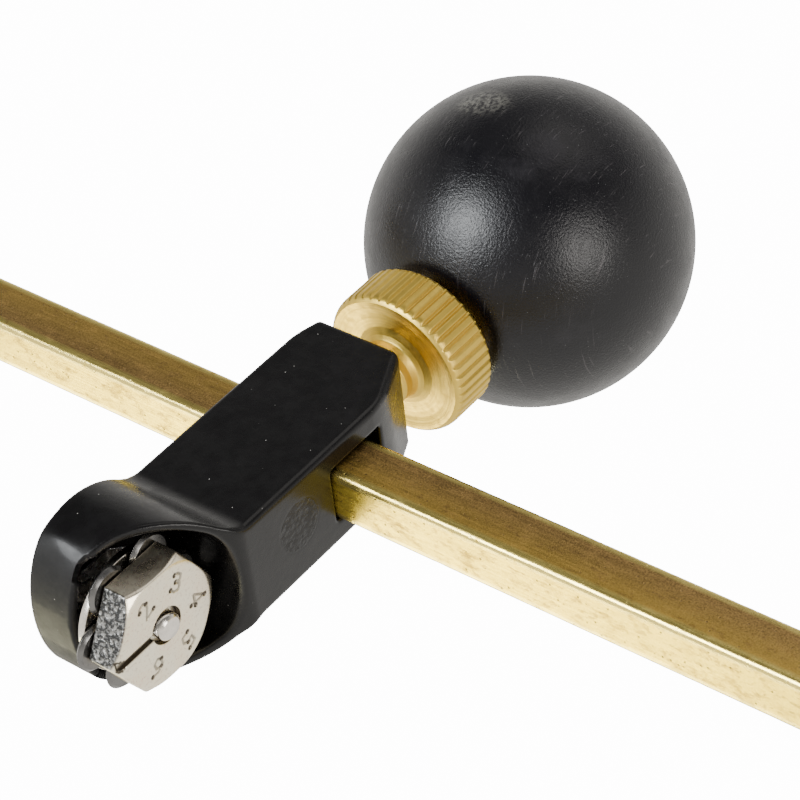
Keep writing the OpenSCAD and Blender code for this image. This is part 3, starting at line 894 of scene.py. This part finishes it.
def make_scale():
    """Graduations in millimetres along the top of the bar, with a number each centimetre."""
    boxes = []
    top = BAR_Z + BAR_HALF + 0.012
    for x in range(SCALE["first"], SCALE["last"] + 1):
        length = 3.2 if x % 10 == 0 else (2.2 if x % 5 == 0 else 1.4)
        edge = SCALE["edge"]
        boxes.append(sunk_box((x, edge), (x, edge + length), SCALE["line"], top, SCALE["deep"]))
        if x % 10 == 0:
            boxes += number_boxes(x, str(x // 10), top)
    vertices = [v for box in boxes for v in box]
    sides = [(0, 3, 2, 1), (4, 5, 6, 7), (0, 1, 5, 4), (1, 2, 6, 5), (2, 3, 7, 6), (3, 0, 4, 7)]
    faces = [tuple(8 * i + c for c in side) for i in range(len(boxes)) for side in sides]
    new_piece("bar_graduations", vertices, faces, "beam", ETCHED, smooth=False)


def end_screw_field(p):
    """A round head with a driver's slot, on a plain shank."""
    x, y, z = p.T
    r = np.hypot(y, z)
    head = both(r - 2.9, np.hypot(r, x + 2.2) - 5.7, 0.25)
    head = both(head, 1.6 - x, 0.1)
    skin = either(head, both(r - 1.45, np.abs(x + 3.7) - 5.3, 0.1))
    return without(skin, np.maximum(np.abs(z) - 0.4, 2.7 - x), 0.05)


def make_bar_end():
    """The washer and screw that keep the head on the bar."""
    end = np.array([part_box("bar")[1].x / MM, 0, BAR_Z])
    profile = rounded([(1.55, 0, 0), (5.2, 0, 0.3), (5.2, 1.6, 0.35), (1.55, 1.6, 0)], 4,
                      closed=True)
    ring, faces = lathe(profile, 96, closed=True)
    new_piece("bar_stop", along_x(ring) + end, faces, "beam", END,
              ["end_washer"])
    sculpt("bar_end_screw", "end_screw", 0.13, end_screw_field, end, "beam", END,
           rounds=5)


# ---------------------------------------------------------------- the pivot

HUB = {"r": 9.5, "top": BAR_Z + 9, "arm": 24.0, "half": 6.0, "bore": 5.2, "socket_x": 5.9,
       "socket_half": 3.03, "screw_x": 17.0, "screw_r": 2.0}
NUT = {"flat": 8.05, "round_r": 8.3, "bore": 5.0}


def hub_field(p):
    """The swivel: a barrel with a square arm, bored for the bushing, the bar and its screw."""
    x, y, z = p.T
    r = np.hypot(x, y)
    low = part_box("pivot_hub")[0].z / MM
    barrel = both(r - HUB["r"], slab(z, (low + HUB["top"]) / 2, (HUB["top"] - low) / 2), 0.9)
    arm = both(both(slab(y, 0, HUB["half"]), slab(z, BAR_Z, HUB["half"]), 1.1),
               np.maximum(x - HUB["arm"], -x), 0.9)
    skin = either(barrel, arm, 1.8)
    skin = without(skin, r - HUB["bore"], 0.2)
    square = np.maximum(np.abs(y), np.abs(z - BAR_Z)) - HUB["socket_half"]
    skin = without(skin, np.maximum(square, HUB["socket_x"] - x), 0.25)
    screw = np.hypot(x - HUB["screw_x"], y) - HUB["screw_r"]
    return without(skin, np.maximum(screw, BAR_Z - z), 0.25)


def nut_field(p):
    """A hexagon nut with both faces turned down to a cone at the corners."""
    x, y, z = p.T
    low, high = (c.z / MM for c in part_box("lock_nut"))
    r = np.hypot(x, y)
    faces = slab(z, (low + high) / 2, (high - low) / 2)
    flats = np.max([np.abs(x * math.cos(a) + y * math.sin(a))
                    for a in (math.pi / 6, math.pi / 2, -math.pi / 6)], axis=0) - NUT["flat"]
    cone = (r - NUT["round_r"] + 1.6 * (faces + 0.2)) / 1.9
    skin = both(both(flats, faces, 0.1), cone, 0.1)
    return without(skin, r - NUT["bore"], 0.1)


def make_pivot():
    """The swivel hub and the stack under and over it: cup, collar, nut, washers and cap."""
    sculpt("swivel_hub", "pivot_hub", 0.33, hub_field, PIVOT, "beam", PAINT)
    sculpt("locking_nut", "lock_nut", 0.22, nut_field, PIVOT, "base", PLATED)
    cup = rounded([
        (0, 3.4, 0), (8, 3.0, 2), (15.5, 1.55, 3), (20.0, 0.85, 1), (21, 0.62, 0.3),
        (23.6, 0.0, 0.2), (26.2, 0.0, 0.3), (27, 0.35, 0.3), (27, 1.3, 0.5), (25.6, 2.0, 0.8),
        (23.0, 3.0, 2), (14.5, 8.2, 4), (10.8, 9.6, 0.8), (10.0, 11.0, 0.6), (10.0, 14.8, 0.4),
        (5.0, 15.0, 0), (5.0, 7.0, 0), (8.5, 7.0, 0), (8.5, 5.0, 0), (0, 5.0, 0)], 5)
    shape, faces = lathe(cup, 160)
    new_piece("rubber_cup", shape, faces, "base", RUBBER, ["suction_cup"])
    collar = rounded([(5, 15.0, 0), (10.9, 15.0, 0.3), (11.5, 15.3, 0.2), (11.4, 15.7, 0.3),
                      (9.9, 16.2, 0.6), (5, 16.2, 0)], 5, closed=True)
    shape, faces = lathe(collar, 128, closed=True)
    new_piece("cup_washer", shape, faces, "base", PLATED, ["cup_collar"])
    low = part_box("cap_nut")[0].z / MM
    cap = rounded([(3.0, low, 0), (5.0, low, 0.1), (6.5, low + 0.3, 0.1), (7.0, low + 0.8, 0.1),
                   (7.0, low + 2, 0), (7.0, low + 3.2, 0), (7.0, low + 4.9, 0.2),
                   (6.4, low + 5.7, 0.4), (4.5, low + 6, 0.6), (0, low + 5.85, 0),
                   (0, low + 5, 0), (3.0, low + 5, 0), (3.0, low, 0)], 5)
    shape, faces = lathe(cap, 400, ridged(7.0, 0.35, 40, low + 0.4, low + 5.5))
    new_piece("pivot_cap", shape, faces, "base", CAP, ["cap_nut"])
    for node, name, finish, slot in (("lower_washer", "nylon_washer", NYLON, "nylon"),
                                     ("upper_washer", "steel_washer", PLATED, "plated_steel")):
        bottom, top = (c.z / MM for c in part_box(node))
        edge = rounded([(4.06, bottom, 0.05), (7.5, bottom, 0.15), (7.5, top, 0.15),
                        (4.06, top, 0.05)], 3, closed=True)
        shape, faces = lathe(edge, 96, closed=True)
        new_piece(name, shape, faces, "base", finish, [node])


def finish_cad_nodes():
    """Better materials for the CAD nodes whose shape is kept."""
    for node, finish in (("pivot_stud", STEEL), ("pivot_bushing", CAP), ("hub_set_screw", STEEL),
                         ("wheel_pins", STEEL), ("pressure_pad", NYLON), ("ball_insert", SCREW),
                         ("retaining_ring", STEEL)):
        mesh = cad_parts[node].data
        mesh.materials.clear()
        mesh.materials.append(finish)


# ---------------------------------------------------------------- studio

def make_camera():
    """Low and in front of the head, looking up from under the glass with a strong roll."""
    eye = HEAD * MM + np.array([0.1397, -0.1740, -0.1401])
    ahead = Vector((-0.5077, 0.6495, 0.5660)).normalized()
    up = Vector((-0.3385, -0.7545, 0.5622))
    side = ahead.cross(up).normalized()
    up = side.cross(ahead)
    camera = bpy.data.objects.new("camera", bpy.data.cameras.new("camera"))
    camera.data.sensor_width = 36
    camera.data.lens = 121.6
    camera.data.clip_start = 0.01
    turn = Matrix((side, up, -ahead)).transposed().to_4x4()
    camera.matrix_world = Matrix.Translation(Vector(eye)) @ turn
    bpy.context.scene.collection.objects.link(camera)
    bpy.context.scene.camera = camera


def softbox(name, direction, distance, size, power, colour, seen=True):
    """A square area light that faces the head."""
    light = bpy.data.lights.new(name, "AREA")
    light.shape = "RECTANGLE"
    light.size, light.size_y = size
    light.energy = power
    light.color = colour
    lamp = bpy.data.objects.new(name, light)
    aim = Vector(HEAD * MM)
    lamp.location = aim + Vector(direction).normalized() * distance
    lamp.rotation_euler = (aim - lamp.location).to_track_quat("-Z", "Y").to_euler()
    lamp.visible_camera = False
    lamp.visible_glossy = seen
    bpy.context.scene.collection.objects.link(lamp)


def make_world():
    """White all round for the camera; for reflections, dim over the tool's front side."""
    world = bpy.data.worlds.new("studio")
    bpy.context.scene.world = world
    world.use_nodes = True
    tree = world.node_tree
    around = tree.nodes["Background"]
    place = tree.nodes.new("ShaderNodeTexCoord")
    split = tree.nodes.new("ShaderNodeSeparateXYZ")
    tree.links.new(place.outputs["Generated"], split.inputs[0])
    ramp = tree.nodes.new("ShaderNodeValToRGB")
    ramp.color_ramp.elements[0].position = 0.18
    ramp.color_ramp.elements[0].color = (0.2, 0.2, 0.2, 1)
    ramp.color_ramp.elements[1].position = 0.52
    ramp.color_ramp.elements[1].color = (1.22, 1.19, 1.13, 1)
    scale = tree.nodes.new("ShaderNodeMapRange")
    scale.inputs["From Min"].default_value = -1
    tree.links.new(split.outputs[1], scale.inputs["Value"])
    tree.links.new(scale.outputs[0], ramp.inputs[0])
    tree.links.new(ramp.outputs[0], around.inputs["Color"])
    paper = tree.nodes.new("ShaderNodeBackground")
    paper.inputs["Strength"].default_value = 18.0
    ray = tree.nodes.new("ShaderNodeLightPath")
    mix = tree.nodes.new("ShaderNodeMixShader")
    tree.links.new(ray.outputs["Is Camera Ray"], mix.inputs[0])
    tree.links.new(around.outputs[0], mix.inputs[1])
    tree.links.new(paper.outputs[0], mix.inputs[2])
    tree.links.new(mix.outputs[0], tree.nodes["World Output"].inputs[0])


def make_floor():
    """A pale sheet at the glass plane, seen only from above, that hides nothing from below."""
    mesh = bpy.data.meshes.new("floor")
    half = 2.0
    mesh.from_pydata([(-half, -half, 0), (half, -half, 0), (half, half, 0), (-half, half, 0)],
                     [], [(0, 1, 2, 3)])
    floor = bpy.data.objects.new("floor", mesh)
    bpy.context.scene.collection.objects.link(floor)
    finish = bpy.data.materials.new("floor")
    finish.use_nodes = True
    tree = finish.node_tree
    shader = tree.nodes["Principled BSDF"]
    shader.inputs["Base Color"].default_value = (0.80, 0.80, 0.79, 1)
    shader.inputs["Roughness"].default_value = 0.75
    clear = tree.nodes.new("ShaderNodeBsdfTransparent")
    side = tree.nodes.new("ShaderNodeNewGeometry")
    mix = tree.nodes.new("ShaderNodeMixShader")
    tree.links.new(side.outputs["Backfacing"], mix.inputs[0])
    tree.links.new(shader.outputs[0], mix.inputs[1])
    tree.links.new(clear.outputs[0], mix.inputs[2])
    tree.links.new(mix.outputs[0], tree.nodes["Material Output"].inputs[0])
    mesh.materials.append(finish)
    floor.visible_diffuse = False
    floor.visible_glossy = False
    floor.visible_transmission = False
    floor.visible_shadow = False


make_camera()
make_world()
make_floor()
softbox("key", (-0.304, -0.633, -0.713), 0.9, (0.45, 0.45), 12, (0.95, 0.98, 1.0))
softbox("side", (0.903, -0.396, -0.158), 0.9, (0.4, 0.4), 4, (1.0, 0.97, 0.93))
softbox("top", (0.3, -0.4, 1.0), 1.1, (0.8, 0.8), 14, (1.0, 1.0, 1.0), seen=False)
softbox("under", (-0.51, 0.763, -0.485), 0.9, (0.42, 0.42), 4.4, (1.0, 0.95, 0.6))
softbox("front", (0.08, -0.85, 0.52), 0.9, (0.6, 0.6), 1.2, (1.0, 0.96, 0.9))
make_head()
make_turret()
make_screw()
make_ball()
make_bar()
make_scale()
make_bar_end()
make_pivot()
finish_cad_nodes()
